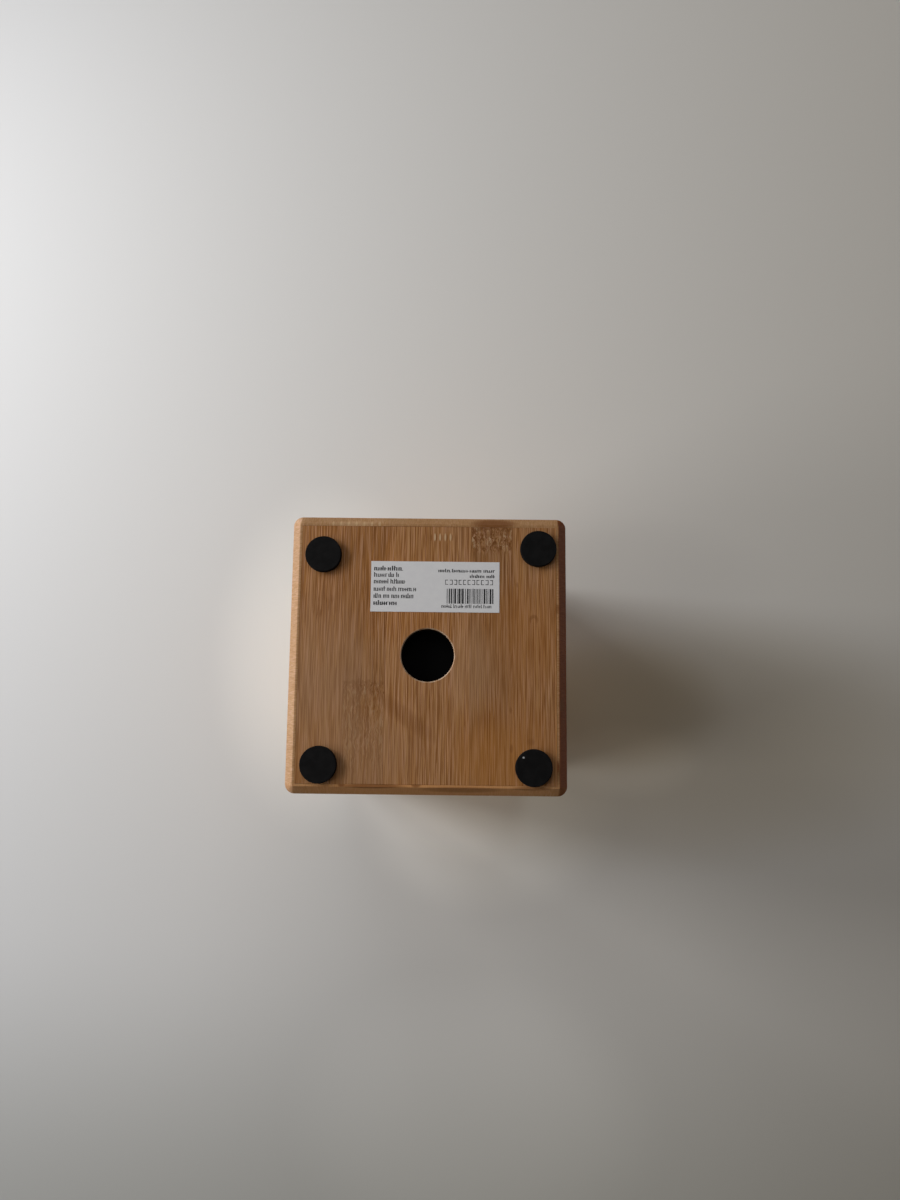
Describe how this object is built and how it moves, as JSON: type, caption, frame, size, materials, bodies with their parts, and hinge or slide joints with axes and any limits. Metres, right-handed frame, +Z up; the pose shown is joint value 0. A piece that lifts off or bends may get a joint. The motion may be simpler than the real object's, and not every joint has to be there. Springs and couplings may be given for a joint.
{
  "type": "knife block with knives",
  "caption": "Square upright bamboo knife block with a lift-out bristle insert, round push-out hole and stick-on feet below, holding riveted full-tang kitchen knives.",
  "frame": {"origin": "on the standing surface, under the middle of the block", "axes": "+Z up out of the open top, -Y the front, +X to the right seen from the front; blades lie parallel to X"},
  "size_m": [0.145, 0.145, 0.376],
  "materials": {
    "bamboo_wall": "bamboo, lightly oiled, satin",
    "bamboo_panel": "bamboo, flat grain, satin",
    "foot_rubber": "matte black",
    "label_paper": "white paper, printed in black",
    "insert_plastic": "black, fine texture",
    "bristles": "black nylon rods, standing like a brush",
    "blade_steel": "fine satin grind",
    "handle_plastic": "black, satin",
    "rivet_steel": "polished pin heads"
  },
  "bodies": {
    "block": {"front_wall": "bamboo_wall", "back_wall": "bamboo_wall", "left_wall": "bamboo_wall", "right_wall": "bamboo_wall", "base_panel": "bamboo_panel", "foot_front_left": "foot_rubber", "foot_front_right": "foot_rubber", "foot_back_left": "foot_rubber", "foot_back_right": "foot_rubber", "label": "label_paper"},
    "insert": {"insert_tray": "insert_plastic", "bristle_root_plate": "insert_plastic", "bristle_bundle": "bristles"},
    "chef_knife": {"chef_knife_blade": "blade_steel", "chef_knife_front_scale": "handle_plastic", "chef_knife_back_scale": "handle_plastic", "chef_knife_rivets": "rivet_steel"},
    "bread_knife": {"bread_knife_blade": "blade_steel", "bread_knife_front_scale": "handle_plastic", "bread_knife_back_scale": "handle_plastic", "bread_knife_rivets": "rivet_steel"},
    "carving_knife": {"carving_knife_blade": "blade_steel", "carving_knife_front_scale": "handle_plastic", "carving_knife_back_scale": "handle_plastic", "carving_knife_rivets": "rivet_steel"},
    "utility_knife": {"utility_knife_blade": "blade_steel", "utility_knife_front_scale": "handle_plastic", "utility_knife_back_scale": "handle_plastic", "utility_knife_rivets": "rivet_steel"},
    "paring_knife": {"paring_knife_blade": "blade_steel", "paring_knife_front_scale": "handle_plastic", "paring_knife_back_scale": "handle_plastic", "paring_knife_rivets": "rivet_steel"}
  },
  "joints": [
    {"name": "insert_lift", "type": "slide", "parent": "block", "child": "insert", "axis": [0, 0, 1], "range_m": [0, 0.25]},
    {"name": "chef_knife_draw", "type": "slide", "parent": "insert", "child": "chef_knife", "axis": [0, 0, 1], "range_m": [0, 0.21]},
    {"name": "bread_knife_draw", "type": "slide", "parent": "insert", "child": "bread_knife", "axis": [0, 0, 1], "range_m": [0, 0.215]},
    {"name": "carving_knife_draw", "type": "slide", "parent": "insert", "child": "carving_knife", "axis": [0, 0, 1], "range_m": [0, 0.21]},
    {"name": "utility_knife_draw", "type": "slide", "parent": "insert", "child": "utility_knife", "axis": [0, 0, 1], "range_m": [0, 0.13]},
    {"name": "paring_knife_draw", "type": "slide", "parent": "insert", "child": "paring_knife", "axis": [0, 0, 1], "range_m": [0, 0.1]}
  ]
}
